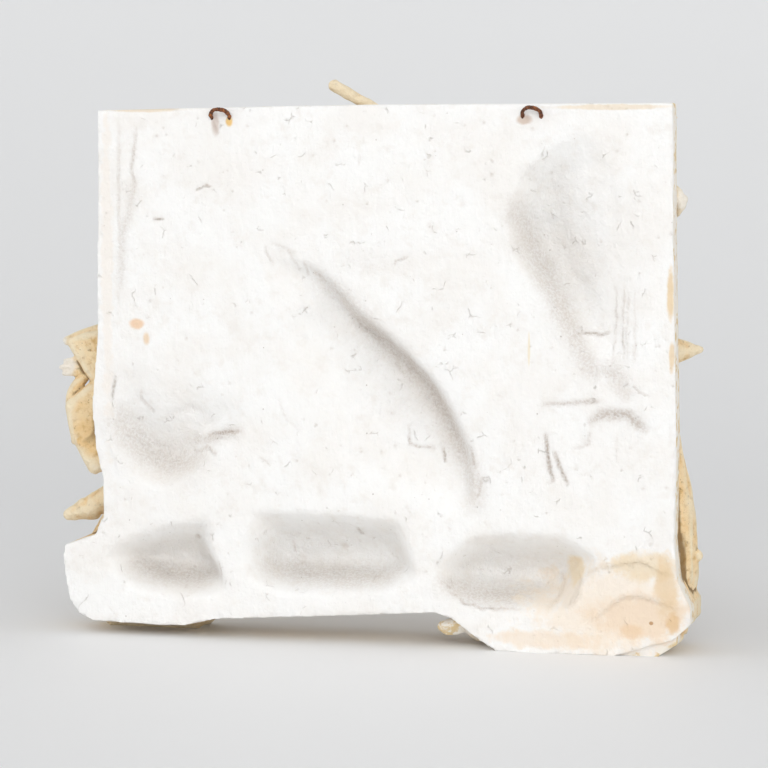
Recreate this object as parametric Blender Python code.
"""Plaster relief panel, cast hollow behind its figures, with two iron wire loops to hang it by.

Metres, +Z up. The relief faces -Y and the hollowed back faces +Y. The model is built with the back
plane at y = 0 and the floor at z = 0, and is then moved so that the middle of its underside is the origin.
"""

import math
import random

import bmesh
import bpy
import numpy as np
from mathutils import Matrix, Vector
from mathutils.bvhtree import BVHTree

# The slab
SLAB_WIDTH = 0.524
SLAB_TOP = 0.480
SLAB_THICKNESS = 0.026

# The ledge below it, on two feet with a low arch between them
LEDGE_HEIGHT = 0.105
LEDGE_DEPTH = 0.100
LEFT_LOBE = 0.015
RIGHT_LOBE = 0.037
ARCH_LEFT = -0.100
ARCH_RIGHT = 0.158
ARCH_HEIGHT = 0.030
FOOT_BACK_GAP = 0.006
LEFT_FOOT_INSET = 0.065
FOOT_BLOCK_INSET = 0.012

# The ground, the tree and the rocks are drawn in hundredths of this depth, to reach the ledge's front
GROUND_DEPTH = 2.62 * LEDGE_DEPTH

# The figures, each drawn in hundredths of its own height
WAYFARER_X = -0.172
WAYFARER_HEIGHT = 0.335
RECLINER_X = 0.045
RECLINER_HIP = 0.262
RECLINER_HEIGHT = 0.350

# The hollows in the back: how deep each is, and how wide its steep side is
WAYFARER_HOLLOW = 0.042
WAYFARER_WALL = 0.020
RECLINER_HOLLOW = 0.034
RECLINER_WALL = 0.012
SEAT_HOLLOW = 0.032
SEAT_WALL = 0.026
LEDGE_HOLLOW = 0.056
LEDGE_WALL = 0.024
THINNEST_SHELL = 0.013

# The hanging loops of iron wire
WIRE_DIAMETER = 0.0034
LOOP_WIDTH = 0.0165
LOOP_STRAIGHT = 0.003
LOOP_TILT = math.radians(40)
LOOP_BURIED = 0.012
LOOP_BELOW_TOP = 0.011
LOOP_PLACES = {"hanging_wire_left": 0.146, "hanging_wire_right": -0.136}
LOOP_PIT = 0.0055
SOCKET_GAP = 0.0003

# How fine the plaster solid is
GRAIN = 0.004
FACETS = 8600

HALF_WIDTH = SLAB_WIDTH / 2
LEDGE_LEFT = -HALF_WIDTH - LEFT_LOBE
LEDGE_RIGHT = HALF_WIDTH + RIGHT_LOBE


def make_material(name, colour, roughness, metallic):
    material = bpy.data.materials.new(name)
    material.use_nodes = True
    shader = material.node_tree.nodes["Principled BSDF"]
    shader.inputs["Base Color"].default_value = (*colour, 1)
    shader.inputs["Roughness"].default_value = roughness
    shader.inputs["Metallic"].default_value = metallic
    return material


def add_object(name, mesh, material=None):
    item = bpy.data.objects.new(name, mesh)
    bpy.context.scene.collection.objects.link(item)
    if material:
        mesh.materials.clear()
        mesh.materials.append(material)
    return item


def settled_mesh(item):
    """The mesh of an object with its modifiers applied."""
    bpy.context.view_layer.update()
    return bpy.data.meshes.new_from_object(item.evaluated_get(bpy.context.evaluated_depsgraph_get()))


# Clay forms: each is a convex skin pulled tight over a few balls, cut off flat at the back plane


def ball_directions():
    ball = bmesh.new()
    bmesh.ops.create_icosphere(ball, subdivisions=3, radius=1)
    directions = [vert.co.copy() for vert in ball.verts]
    ball.free()
    return directions


DIRECTIONS = ball_directions()


def add_skin(clay, points):
    form = bmesh.new()
    for point in points:
        form.verts.new(point)
    hull = bmesh.ops.convex_hull(form, input=form.verts)
    spare = {item for item in hull["geom_interior"] if isinstance(item, bmesh.types.BMVert)}
    bmesh.ops.delete(form, geom=list(spare), context="VERTS")
    if max(vert.co.y for vert in form.verts) > 0:
        everything = form.verts[:] + form.edges[:] + form.faces[:]
        bmesh.ops.bisect_plane(form, geom=everything, plane_co=(0, 0, 0), plane_no=(0, 1, 0), clear_outer=True)
        rim = [edge for edge in form.edges if edge.is_boundary]
        bmesh.ops.holes_fill(form, edges=rim, sides=0)
    mesh = bpy.data.meshes.new("form")
    form.to_mesh(mesh)
    form.free()
    clay.from_mesh(mesh)
    bpy.data.meshes.remove(mesh)


def add_outline(clay, outline, front, back):
    """A flat shape given by its outline in X and Z, as thick as the space from front to back in Y."""
    face = clay.faces.new([clay.verts.new((x, front, z)) for x, z in outline])
    side = bmesh.ops.extrude_face_region(clay, geom=[face])
    moved = [item for item in side["geom"] if isinstance(item, bmesh.types.BMVert)]
    bmesh.ops.translate(clay, verts=moved, vec=(0, back - front, 0))


class Drawing:
    """A drawing laid on the slab's front. Its places are hundredths of its own width, height and depth.

    A ball is (x, z, depth, radius): depth is how far its middle stands in front of the slab, and radius
    is hundredths of the width.
    """

    def __init__(self, x, z, width, height, depth):
        self.x = x
        self.z = z
        self.width = width / 100
        self.height = height / 100
        self.depth = depth / 100

    def place(self, x, z, depth):
        y = -SLAB_THICKNESS - depth * self.depth
        return Vector((self.x + x * self.width, y, self.z + z * self.height))

    def form(self, clay, *balls):
        points = []
        for x, z, depth, radius in balls:
            middle = self.place(x, z, depth)
            points += [middle + direction * radius * self.width for direction in DIRECTIONS]
        add_skin(clay, points)

    def flat_ball(self, clay, ball, flatness, lean):
        """One ball flattened along Z and leaned about X, such as a hat's brim."""
        x, z, depth, radius = ball
        turn = Matrix.Rotation(lean, 3, "X") @ Matrix.Diagonal((1, 1, flatness))
        middle = self.place(x, z, depth)
        add_skin(clay, [middle + turn @ direction * radius * self.width for direction in DIRECTIONS])

    def fold(self, clay, start, bend, end, radius, steps=6):
        """A fold of cloth or a root: a thin form along a bent line, thickest in its middle."""
        line = []
        for step in range(steps + 1):
            t = step / steps
            spot = [(1 - t) ** 2 * a + 2 * t * (1 - t) * b + t ** 2 * c for a, b, c in zip(start, bend, end)]
            line.append((*spot, radius * (0.45 + 0.55 * math.sin(math.pi * t))))
        for near, far in zip(line, line[1:]):
            self.form(clay, near, far)


# The slab and the ledge


def add_slab(clay):
    outline = [
        (-100, 15), (-100.5, 40), (-99, 75), (-98.5, 100), (0, 100), (45, 99.7), (100, 99.2),
        (100.8, 56), (103, 43), (101.5, 35), (99.3, 30), (99, 15),
    ]
    points = [(x * HALF_WIDTH / 100, z * SLAB_TOP / 100) for x, z in outline]
    add_outline(clay, points, -SLAB_THICKNESS, 0)


def add_block(clay, low, high):
    corners = [(x, y, z) for x in (low[0], high[0]) for y in (low[1], high[1]) for z in (low[2], high[2])]
    add_skin(clay, corners)


def add_ledge(clay):
    """The ledge with a rounded lobe at each side, and feet that are later cut off flat at the floor."""
    arch_middle = 0.3 * ARCH_LEFT + 0.7 * ARCH_RIGHT
    outline = [
        (HALF_WIDTH, LEDGE_HEIGHT),
        (HALF_WIDTH + 0.15 * RIGHT_LOBE, 0.87 * LEDGE_HEIGHT),
        (LEDGE_RIGHT - 0.05 * RIGHT_LOBE, 0.77 * LEDGE_HEIGHT),
        (LEDGE_RIGHT, 0.64 * LEDGE_HEIGHT),
        (LEDGE_RIGHT - 0.15 * RIGHT_LOBE, 0.30 * LEDGE_HEIGHT),
        (HALF_WIDTH + 0.4 * RIGHT_LOBE, 0.18 * LEDGE_HEIGHT),
        (HALF_WIDTH - 0.8 * RIGHT_LOBE, FOOT_BACK_GAP),
        (ARCH_RIGHT + 0.5 * ARCH_HEIGHT, FOOT_BACK_GAP),
        (ARCH_RIGHT - 0.17 * ARCH_HEIGHT, 0.6 * ARCH_HEIGHT),
        (arch_middle, 0.75 * ARCH_HEIGHT),
        (0.5 * ARCH_LEFT, 1.05 * ARCH_HEIGHT),
        (0.65 * ARCH_LEFT, 0.9 * ARCH_HEIGHT),
        (0.9 * ARCH_LEFT, 0.3 * ARCH_HEIGHT),
        (1.05 * ARCH_LEFT, 0),
        (LEDGE_LEFT + LEFT_FOOT_INSET, 0),
        (LEDGE_LEFT + LEFT_LOBE, 0.15 * LEDGE_HEIGHT),
        (LEDGE_LEFT, 0.28 * LEDGE_HEIGHT),
        (LEDGE_LEFT, 0.42 * LEDGE_HEIGHT),
        (-HALF_WIDTH - 0.25 * LEFT_LOBE, 0.65 * LEDGE_HEIGHT),
        (-HALF_WIDTH, LEDGE_HEIGHT),
    ]
    add_outline(clay, outline, -0.74 * LEDGE_DEPTH, 0)
    front = -0.8 * LEDGE_DEPTH
    below = -GRAIN
    inset = FOOT_BLOCK_INSET
    top = 0.3 * LEDGE_HEIGHT
    add_block(clay, (LEDGE_LEFT + inset, front, below), (ARCH_LEFT - inset / 2, -inset / 2, top))
    add_block(clay, (ARCH_RIGHT, front, below), (LEDGE_RIGHT - inset, -0.2 * LEDGE_DEPTH, top))


def add_boulder(clay, middle, radius, chance):
    """A broken stone: a tight skin over a few shifted lumps with few corners."""
    points = []
    for _ in range(4):
        shift = Vector([chance.uniform(-0.45, 0.45) for _ in range(3)]) * radius
        size = radius * chance.uniform(0.5, 0.6)
        points += [middle + shift + direction * size for direction in DIRECTIONS[::9]]
    add_skin(clay, points)


def add_ground(clay):
    """Broken ground: three rows of stones up the front of the ledge, and a bank of earth behind them."""
    chance = random.Random(11)
    span = LEDGE_RIGHT - LEDGE_LEFT
    stones = 12
    for height, setback in ((0.2, 1), (0.5, 1.05), (0.8, 1.5)):
        for number in range(stones):
            radius = LEDGE_DEPTH * chance.uniform(0.24, 0.31)
            x = LEDGE_LEFT + span * (number + chance.uniform(0.3, 0.7)) / stones
            x = min(max(x, LEDGE_LEFT + radius), LEDGE_RIGHT - radius)
            z = LEDGE_HEIGHT * height + radius * chance.uniform(-0.15, 0.15)
            if ARCH_LEFT - radius < x < ARCH_RIGHT + radius:
                if height < 0.3:
                    continue
                z = max(z, ARCH_HEIGHT + 0.9 * radius)
            add_boulder(clay, Vector((x, -LEDGE_DEPTH + radius * setback, z)), radius, chance)
    under_arch = 0.15 * LEDGE_DEPTH
    add_boulder(clay, Vector((0.75 * ARCH_LEFT, -0.6 * LEDGE_DEPTH, under_arch)), under_arch, chance)
    bank = Drawing(0, LEDGE_HEIGHT, HALF_WIDTH, HALF_WIDTH, GROUND_DEPTH)
    bank.form(clay, (-94, -6, 9, 9), (-40, -6, 9, 8), (-66, -5, 3, 9))
    bank.form(clay, (-40, -7, 9, 8), (20, -6, 9, 8), (-10, 0, 2, 7))
    bank.form(clay, (20, -6, 9, 8), (98, -8, 9, 8), (60, 0, 3, 9))


# What stands on the ledge


def add_tree(clay):
    """The dead tree at the left edge, with a knot, a broken branch stub and spreading roots."""
    panel = Drawing(0, 0, HALF_WIDTH, SLAB_TOP, GROUND_DEPTH)
    panel.form(clay, (-93.5, 20, 5, 8), (-93.5, 58, 4, 5.6))
    panel.form(clay, (-93.5, 58, 4, 5.6), (-95.5, 97, 2, 3.6))
    panel.form(clay, (-93.5, 74, 4, 3.4), (-83, 93, 1, 2.2))
    panel.fold(clay, (-90, 30, 9), (-91, 56, 9), (-93, 84, 5), 1.8)
    panel.fold(clay, (-97, 30, 8), (-96, 52, 8), (-96, 80, 5), 1.6)
    panel.form(clay, (-99, 82.7, 4.5, 3.6))
    panel.form(clay, (-95.5, 55, 7, 4.8), (-106, 55.3, 11, 0.9))
    panel.form(clay, (-95, 39, 5, 5), (-98, 25, 8, 7), (-97, 14, 9, 9))
    panel.form(clay, (-99, 18, 9, 6.6), (-99, 12, 16, 6))
    panel.form(clay, (-105.6, 17.5, 8, 1.9))
    panel.fold(clay, (-91, 38, 10), (-86, 26, 14), (-72, 21, 16), 3.4)
    panel.fold(clay, (-96, 36, 9), (-97, 24, 16), (-90, 18, 26), 3.4)
    panel.form(clay, (-88, 93, -1, 6), (-56, 92, -1, 6), (-54, 80, -1, 6), (-86, 80, 0, 6))
    panel.form(clay, (-86, 92, 3, 5), (-66, 92, 3, 5), (-76, 84, 4, 6))
    chance = random.Random(4)
    for _ in range(34):
        x = chance.uniform(-95, -50)
        z = chance.uniform(80, 97)
        depth = 5 - 0.1 * abs(x + 74) - 0.15 * abs(z - 89)
        panel.form(clay, (x, z, depth, chance.uniform(2.6, 4)))


def add_rocks(clay):
    """The rock that the figure at the right reclines on, and its foot on the ledge."""
    panel = Drawing(0, 0, HALF_WIDTH, SLAB_TOP, GROUND_DEPTH)
    panel.form(clay, (40, 44, 3, 9), (88, 40, 4, 9), (90, 30, 7, 10), (50, 30, 8, 11))
    panel.form(clay, (50, 30, 8, 11), (90, 30, 7, 10), (92, 19, 10, 8), (40, 20, 12, 9))
    panel.form(clay, (24, 40, 2, 9), (4, 32, 2, 9), (40, 22, 8, 11), (0, 21, 6, 9))
    panel.form(clay, (-12, 25, 2, 8), (-24, 20, 4, 7), (10, 20, 7, 8))
    panel.form(clay, (104, 23.5, 4, 4.6), (110, 24.3, 3, 3.4), (109, 23, 6, 3.6))
    panel.form(clay, (80, 26, 14, 5), (98, 22, 14, 6), (92, 20, 20, 5), (78, 20, 20, 5))
    panel.form(clay, (54, 25, 15, 5), (66, 21, 20, 5), (44, 20, 20, 5), (38, 22, 12, 5))


def add_wayfarer(clay):
    """The standing man in a hat, tunic and cloak, with a staff over his shoulder."""
    man = Drawing(WAYFARER_X, LEDGE_HEIGHT, WAYFARER_HEIGHT, WAYFARER_HEIGHT, WAYFARER_HEIGHT)
    for side, knee, ankle in ((1, 5, 5), (-1, -8, -11)):
        man.form(clay, (side * 4, 50, 8, 5), (knee, 28, 10, 3.6))
        man.form(clay, (knee, 28, 10, 3.5), (ankle, 17, 7.5, 3.4), (ankle, 5, 7, 2.4))
        man.form(clay, (ankle, 3, 7, 2.9), (ankle + side * 4, 2.2, 13, 2.3))
    man.form(clay, (-6, 56, 7, 6), (6, 56, 7, 6), (-10, 36, 7, 5), (9, 35, 7, 5), (-4, 34, 12, 3), (5, 35, 12, 3))
    man.form(clay, (-7, 75, 6, 6.5), (8, 76, 6, 6.5), (-5, 60, 7, 6.5), (5, 60, 7, 6.5))
    man.fold(clay, (-10, 58, 9), (0, 55, 19), (10, 58, 9), 1.5)
    for x, sway in ((-8, -2), (-3, 1), (2, -1), (7, 2)):
        man.fold(clay, (x * 0.7, 54, 13), (x + sway, 44, 15), (x * 1.1, 33, 13), 1.3)
    man.form(clay, (0, 80, 7, 3.9), (0.5, 86, 8, 3.6))
    man.form(clay, (0.8, 91.8, 9, 5.7), (0.5, 88.2, 9.8, 4.4))
    man.form(clay, (1.5, 91.2, 14, 0.8), (1.8, 89.2, 15.4, 1))
    man.flat_ball(clay, (0.6, 95.2, 8.6, 10), 0.16, math.radians(-12))
    man.form(clay, (0.6, 96.4, 8.4, 5.7), (0.6, 99.8, 7.6, 4))
    for side in (-1, 1):
        man.form(clay, (side * 9, 79, 2, 3), (side * 18, 44, 0, 3), (side * 11, 38, 0, 3), (side * 4, 80, 1, 3))
        man.fold(clay, (side * 12, 78, 4), (side * 15, 60, 4), (side * 17, 40, 2), 2.4)
        man.fold(clay, (side * 10, 74, 3), (side * 12, 58, 4), (side * 13, 38, 2), 2)
    man.form(clay, (-11, 75.5, 7, 4.2), (-18, 61, 9, 3.4))
    man.form(clay, (-18, 61, 9, 3.3), (-13.2, 69.5, 12, 2.5))
    man.form(clay, (-12.6, 71, 12.5, 3))
    man.form(clay, (12, 76, 7, 4.2), (16, 62, 9, 3.4))
    man.form(clay, (16, 62, 9, 3.3), (8, 57.5, 15, 2.5))
    man.form(clay, (6.6, 57.2, 15.6, 2.7))
    man.form(clay, (-20.3, 66.4, 13, 1.6), (66.3, 117.2, 2.4, 1.6))


def add_recliner(clay):
    """The draped woman who leans back on the rock, her cloth spread over it and past the slab's edge."""
    woman = Drawing(RECLINER_X, RECLINER_HIP, RECLINER_HEIGHT, RECLINER_HEIGHT, RECLINER_HEIGHT)
    mound = [(14, 24, 3, 6), (-3, 11, 3, 7), (-17, 1, 3, 7), (-27, -11, 3, 7), (-33, -25, 3, 6)]
    under = [(8, 6, 4, 8), (2, 0, 4, 8), (-12, -12, 4, 8), (-20, -26, 4, 7)]
    for (upper, lower), inner in zip(zip(mound, mound[1:]), under):
        woman.form(clay, upper, lower, inner)
    woman.form(clay, (0, 0, 9, 8.6), (7, 2, 9, 8.6))
    woman.form(clay, (6, 7, 8, 7), (13, 21, 8, 6.4), (20, 22, 8, 6.4))
    woman.form(clay, (10, 24, 9, 4), (24, 25, 8, 4))
    woman.form(clay, (12, 18.5, 12, 3.8), (18.5, 19, 12, 3.8))
    woman.form(clay, (17.6, 26, 8, 3.6), (19.4, 32, 8.5, 3.2))
    woman.form(clay, (21, 37.6, 9, 5.4), (19.8, 34.2, 10.2, 4))
    woman.form(clay, (17.9, 37.4, 13.4, 0.8), (17, 35.4, 14.8, 0.95))
    woman.form(clay, (23.4, 39, 8, 5.3))
    woman.form(clay, (27.8, 38.4, 7, 3.4))
    woman.form(clay, (10.5, 24, 11, 4), (3, 13, 14, 3.4))
    woman.form(clay, (3, 13, 14, 3.2), (-7, 5, 16, 2.4))
    woman.form(clay, (-9, 4, 16.4, 2.6))
    woman.form(clay, (24, 24.5, 7, 4), (38, 16, 8, 3.3))
    woman.form(clay, (38, 16, 8, 3.1), (52, 7, 8, 2.5))
    woman.form(clay, (54, 6, 8, 2.7))
    woman.form(clay, (3, 0, 10, 8.4), (2, -8, 7, 7), (-18, -8, 12, 6), (-13, -19, 9, 6))
    woman.form(clay, (-18, -8, 12, 6), (-13, -19, 9, 6), (-32, -29, 9, 4.6), (-27, -38, 7, 4.8))
    woman.form(clay, (-33, -31, 9, 2.8), (-42, -37, 12, 2))
    woman.form(clay, (-29, -40, 8, 2.8), (-37, -42.5, 12, 2))
    for number in range(5):
        start = (-2 + 2 * number, 3 - 3.4 * number, 16 - number)
        bend = (-17 + 1.8 * number, -7 - 3.4 * number, 19.5 - 1.1 * number)
        end = (-32 + 1.2 * number, -28 - 2.8 * number, 14 - 0.6 * number)
        woman.fold(clay, start, bend, end, 1.8)
    woman.form(clay, (6, -3, 9, 6), (28, -8, 9, 4.4), (52, -6, 8, 4))
    woman.form(clay, (8, -6, 10, 4), (53, -7, 8, 4), (50, -27, 8, 4), (10, -25, 9, 4))
    for number in range(7):
        x = 9 + 7.4 * number
        hang = -25 - 3.5 * (number % 3)
        woman.fold(clay, (x, -5, 13), (x + 3, -15, 15), (x - 2 + 3 * (number % 2), hang, 13), 2.7)
    woman.fold(clay, (52, 6, 7), (64, 3, 6), (75, 1, 5), 2.6)
    woman.fold(clay, (52, 3, 7), (66, -2, 6), (76, -4, 5), 2.6)
    woman.fold(clay, (52, 1, 7), (66, -6, 5), (76, -8, 4), 2.6)
    woman.form(clay, (53, 5, 5, 3), (70, -1, 4, 2.6), (70, -8, 3, 2.6), (56, -14, 4, 3.5))
    woman.form(clay, (60, -8, 3, 3.2), (72, -17, 3, 3), (66, -31, 2, 3), (54, -26, 4, 3.5))
    woman.fold(clay, (66, -6, 4), (76, -18, 5), (66, -34, 3), 2.8)
    woman.fold(clay, (58, -2, 7), (64, -18, 8), (56, -34, 6), 2.4)


# The hollows in the back. Each returns how deep it is at points given as arrays of X and Z.

BLEND = 5


def smooth_step(share):
    share = np.clip(share, 0, 1)
    return share * share * (3 - 2 * share)


def pocket(x, z, outline, depth, wall):
    """A hollow with an outline: its sides slope over the width called wall, and it is deepest low down."""
    nearest = np.full(x.shape, np.inf)
    inside = np.zeros(x.shape, bool)
    for (ax, az), (bx, bz) in zip(outline, outline[1:] + outline[:1]):
        across, rise = bx - ax, bz - az
        along = np.clip(((x - ax) * across + (z - az) * rise) / (across ** 2 + rise ** 2), 0, 1)
        nearest = np.minimum(nearest, np.hypot(x - ax - along * across, z - az - along * rise))
        spans = (az > z) != (bz > z)
        inside ^= spans & (x < ax + (z - az) * across / (rise or 1))
    low = min(point[1] for point in outline)
    high = max(point[1] for point in outline)
    lean = 1 - 0.45 * smooth_step((z - low) / (high - low))
    return np.where(inside, depth * lean * smooth_step(nearest / wall), 0)


def trough(x, z, ridge, depth, wall):
    """A hollow that falls steeply from a ridge line and rises gently beyond it.

    Each point of the ridge is (x, z, share of the full depth, width of the hollow), and the hollow lies
    to the left of someone who walks along the ridge. The stretches of the ridge are blended by nearness.
    """
    nearest = np.full(x.shape, np.inf)
    inside = np.zeros(x.shape, bool)
    weights, share, width = np.zeros(x.shape), np.zeros(x.shape), np.zeros(x.shape)
    for (ax, az, a_share, a_width), (bx, bz, b_share, b_width) in zip(ridge, ridge[1:]):
        across, rise = bx - ax, bz - az
        along = np.clip(((x - ax) * across + (z - az) * rise) / (across ** 2 + rise ** 2), 0, 1)
        distance = np.hypot(x - ax - along * across, z - az - along * rise) + 0.0001
        inside = np.where(distance < nearest, across * (z - az) > rise * (x - ax), inside)
        nearest = np.minimum(nearest, distance)
        weight = distance ** -BLEND
        weights += weight
        share += weight * (a_share + (b_share - a_share) * along)
        width += weight * (a_width + (b_width - a_width) * along)
    away = weights ** (-1 / BLEND)
    climb = 1 - smooth_step((away - wall) / (width / weights - wall))
    return np.where(inside, depth * share / weights * smooth_step(away / wall) * climb, 0)


def on_slab(points):
    """A ridge on the back in metres. X and width are hundredths of half the slab's width, Z of its height."""
    across, up = HALF_WIDTH / 100, SLAB_TOP / 100
    return [(x * across, z * up, share, width * across) for x, z, share, width in points]


def on_ledge(points):
    return [(x * HALF_WIDTH / 100, z * LEDGE_HEIGHT / 100) for x, z in points]


def hollow_depth(x, z):
    """How far the back is hollowed out behind the figures, the rock and the ledge."""
    behind_wayfarer = on_slab([
        (-72, 52, 0, 15), (-65.6, 56.5, 0.5, 23), (-57.6, 63.8, 0.9, 34), (-48.1, 70.8, 1, 46),
        (-43.1, 78.5, 1, 50), (-48.1, 87.1, 0.8, 46), (-58, 92, 0.45, 38), (-71.4, 95.6, 0, 27),
    ])
    behind_recliner = on_slab([
        (38.5, 74.2, 0, 12), (19.1, 70, 0.4, 23), (8.8, 63.3, 0.8, 34), (-6.9, 56.9, 1, 42),
        (-22.5, 47.9, 1, 46), (-32.8, 36.9, 0.7, 38), (-34, 25, 0, 19),
    ])
    behind_seat = on_slab([
        (44, 41, 0, 12), (58.4, 34.8, 0.55, 23), (67.6, 30.5, 0.9, 34), (77, 28, 1, 38),
        (87.4, 29.6, 1, 38), (95, 36, 0.9, 31), (98, 45, 0.3, 19), (98, 51, 0, 15),
    ])
    in_ledge_right = on_ledge([
        (98.5, 65), (96.6, 73), (89.3, 85), (78.2, 95), (61, 103), (60.3, 81), (56.1, 55), (55, 41),
        (71.4, 37), (87.8, 41), (93.1, 52),
    ])
    in_ledge_middle = on_ledge([
        (44, 109), (28, 111), (-7, 107), (-12, 64), (-10.7, 57), (0, 48), (37, 43), (44.3, 52), (48.5, 73),
    ])
    in_ledge_left = on_ledge([
        (-19, 65), (-21, 71), (-26, 84), (-31, 94), (-38, 98), (-62, 98), (-75.6, 80), (-62.2, 36),
        (-38, 37), (-31, 41), (-24.4, 44),
    ])
    hollows = [
        trough(x, z, behind_wayfarer, WAYFARER_HOLLOW, WAYFARER_WALL),
        trough(x, z, behind_recliner, RECLINER_HOLLOW, RECLINER_WALL),
        trough(x, z, behind_seat, SEAT_HOLLOW, SEAT_WALL),
        pocket(x, z, in_ledge_right, LEDGE_HOLLOW, LEDGE_WALL),
        pocket(x, z, in_ledge_middle, LEDGE_HOLLOW, LEDGE_WALL),
        pocket(x, z, in_ledge_left, LEDGE_HOLLOW, LEDGE_WALL),
    ]
    return np.maximum.reduce(hollows)


def hollow_back(mesh):
    """Presses the hollows into the back, and leaves the thinnest shell of plaster in front of them."""
    count = len(mesh.vertices)
    places = np.empty(count * 3)
    normals = np.empty(count * 3)
    mesh.vertices.foreach_get("co", places)
    mesh.vertices.foreach_get("normal", normals)
    places = places.reshape(-1, 3)
    normals = normals.reshape(-1, 3)
    depth = hollow_depth(places[:, 0], places[:, 2])
    shell = bmesh.new()
    shell.from_mesh(mesh)
    tree = BVHTree.FromBMesh(shell)
    shell.free()
    on_back = (places[:, 1] > -2 * GRAIN) & (normals[:, 1] > 0.3) & (depth > 0)
    for index in np.flatnonzero(on_back):
        start = Vector(places[index]) - Vector((0, GRAIN, 0))
        hit = tree.ray_cast(start, (0, -1, 0))[0]
        room = -hit.y - THINNEST_SHELL if hit else 0
        places[index, 1] -= max(0, min(depth[index], room))
    mesh.vertices.foreach_set("co", places.ravel())
    mesh.update()


def flatten_back(solid):
    """Puts the points that lie within a hair of the back plane exactly on it."""
    hair = 0.0004
    for vert in solid.verts:
        if abs(vert.co.y) < hair:
            vert.co.y = 0


def cut_feet(solid):
    """Cuts the feet off flat at the floor, so that the panel stands."""
    everything = solid.verts[:] + solid.edges[:] + solid.faces[:]
    bmesh.ops.bisect_plane(solid, geom=everything, plane_co=(0, 0, 0), plane_no=(0, 0, 1), clear_inner=True)
    rim = [edge for edge in solid.edges if edge.is_boundary]
    bmesh.ops.holes_fill(solid, edges=rim, sides=0)
    bmesh.ops.triangulate(solid, faces=solid.faces)


def make_relief(plaster):
    clay = bmesh.new()
    add_slab(clay)
    add_ledge(clay)
    add_ground(clay)
    add_tree(clay)
    add_rocks(clay)
    add_wayfarer(clay)
    add_recliner(clay)
    rough = bpy.data.meshes.new("relief_rough")
    clay.to_mesh(rough)
    clay.free()
    model = add_object("relief_model", rough)
    remesh = model.modifiers.new("one skin", "REMESH")
    remesh.mode = "VOXEL"
    remesh.voxel_size = GRAIN
    soften = model.modifiers.new("soften", "SMOOTH")
    soften.iterations = 2
    mesh = settled_mesh(model)
    hollow_back(mesh)
    model.modifiers.clear()
    model.data = mesh
    thin = model.modifiers.new("fewer facets", "DECIMATE")
    thin.ratio = FACETS / (2 * len(mesh.polygons))
    mesh = settled_mesh(model)
    bpy.data.objects.remove(model)
    solid = bmesh.new()
    solid.from_mesh(mesh)
    flatten_back(solid)
    cut_feet(solid)
    bmesh.ops.dissolve_degenerate(solid, dist=0.00002, edges=solid.edges)
    bmesh.ops.triangulate(solid, faces=solid.faces)
    bmesh.ops.recalc_face_normals(solid, faces=solid.faces)
    solid.to_mesh(mesh)
    solid.free()
    mesh.name = "plaster_relief"
    return add_object("plaster_relief", mesh, plaster)


# The hanging loops


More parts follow.
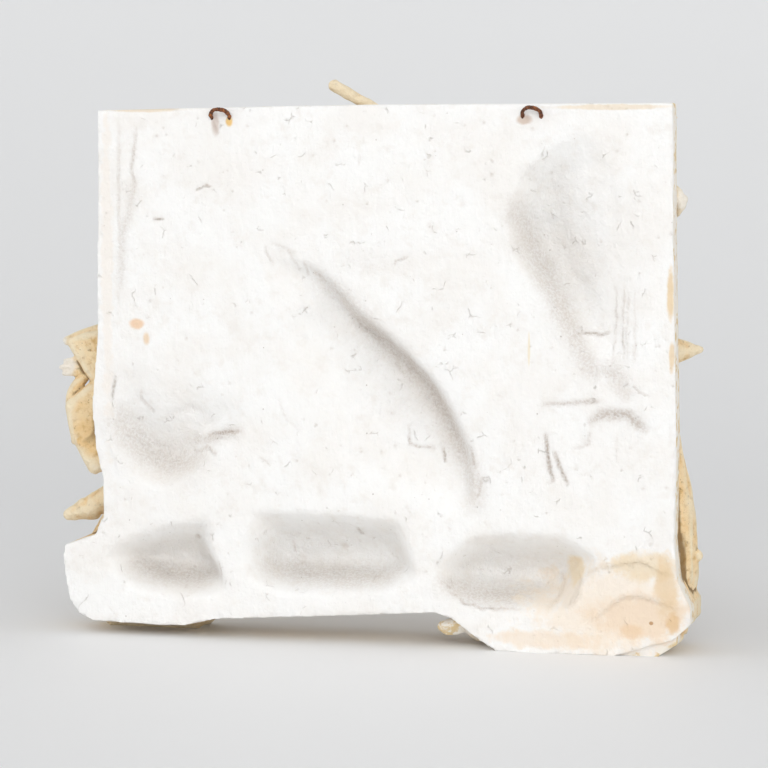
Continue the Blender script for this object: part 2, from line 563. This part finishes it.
def loop_mesh(name, x, radius, buried):
    """A bent wire: two legs out of the back, joined by half a circle that leans upwards."""
    out = Vector((0, math.cos(LOOP_TILT), math.sin(LOOP_TILT)))
    start = Vector((x, 0, SLAB_TOP - LOOP_BELOW_TOP))
    half = LOOP_WIDTH / 2
    turns = 12
    route = [start + Vector((-half, 0, 0)) - out * buried]
    for turn in range(turns + 1):
        angle = math.pi * turn / turns
        sideways = Vector((-half * math.cos(angle), 0, 0))
        route.append(start + sideways + out * (LOOP_STRAIGHT + half * math.sin(angle)))
    route.append(start + Vector((half, 0, 0)) - out * buried)
    curve = bpy.data.curves.new(name, "CURVE")
    curve.dimensions = "3D"
    curve.bevel_depth = radius
    curve.bevel_resolution = 2
    curve.use_fill_caps = True
    line = curve.splines.new("POLY")
    line.points.add(len(route) - 1)
    for point, place in zip(line.points, route):
        point.co = (*place, 1)
    item = add_object(name, curve)
    mesh = settled_mesh(item)
    bpy.data.objects.remove(item)
    tube = bmesh.new()
    tube.from_mesh(mesh)
    bmesh.ops.remove_doubles(tube, verts=tube.verts, dist=0.00001)
    tube.to_mesh(mesh)
    tube.free()
    return mesh


def cut_out(solid, name, mesh):
    cutter = add_object(name, mesh)
    cutter.hide_render = True
    cutter.display_type = "WIRE"
    hole = solid.modifiers.new(name, "BOOLEAN")
    hole.operation = "DIFFERENCE"
    hole.object = cutter
    return cutter


def pit_mesh(name, x):
    """The small pit dug under a loop, so that a cord can pass through it."""
    pit = bmesh.new()
    middle = Matrix.Translation((x + 0.2 * LOOP_WIDTH, 0, SLAB_TOP - LOOP_BELOW_TOP - 1.5 * LOOP_PIT))
    stretch = Matrix.Diagonal((0.9, 0.9, 1.2, 1))
    bmesh.ops.create_icosphere(pit, subdivisions=2, radius=LOOP_PIT, matrix=middle @ stretch)
    mesh = bpy.data.meshes.new(name)
    pit.to_mesh(mesh)
    pit.free()
    return mesh


def add_loops(relief, iron):
    parts = []
    radius = WIRE_DIAMETER / 2
    for name, x in LOOP_PLACES.items():
        wire = add_object(name, loop_mesh(name, x, radius, LOOP_BURIED), iron)
        socket = loop_mesh(name + "_socket", x, radius + SOCKET_GAP, LOOP_BURIED + SOCKET_GAP)
        parts += [wire, cut_out(relief, name + "_socket", socket), cut_out(relief, name + "_pit", pit_mesh(name, x))]
    return parts


def move_to_origin(parts):
    """Moves everything so that the middle of the underside of the whole is the origin."""
    bpy.context.view_layer.update()
    corners = [item.matrix_world @ Vector(corner) for item in parts for corner in item.bound_box]
    middle = [(min(c[axis] for c in corners) + max(c[axis] for c in corners)) / 2 for axis in (0, 1)]
    for item in parts:
        item.location = (-middle[0], -middle[1], 0)


for old in list(bpy.data.objects):
    bpy.data.objects.remove(old)

plaster_finish = make_material("plaster", (0.92, 0.91, 0.88), 0.85, 0)
iron_finish = make_material("rusted iron", (0.16, 0.08, 0.04), 0.8, 0.3)
relief_panel = make_relief(plaster_finish)
move_to_origin([relief_panel, *add_loops(relief_panel, iron_finish)])
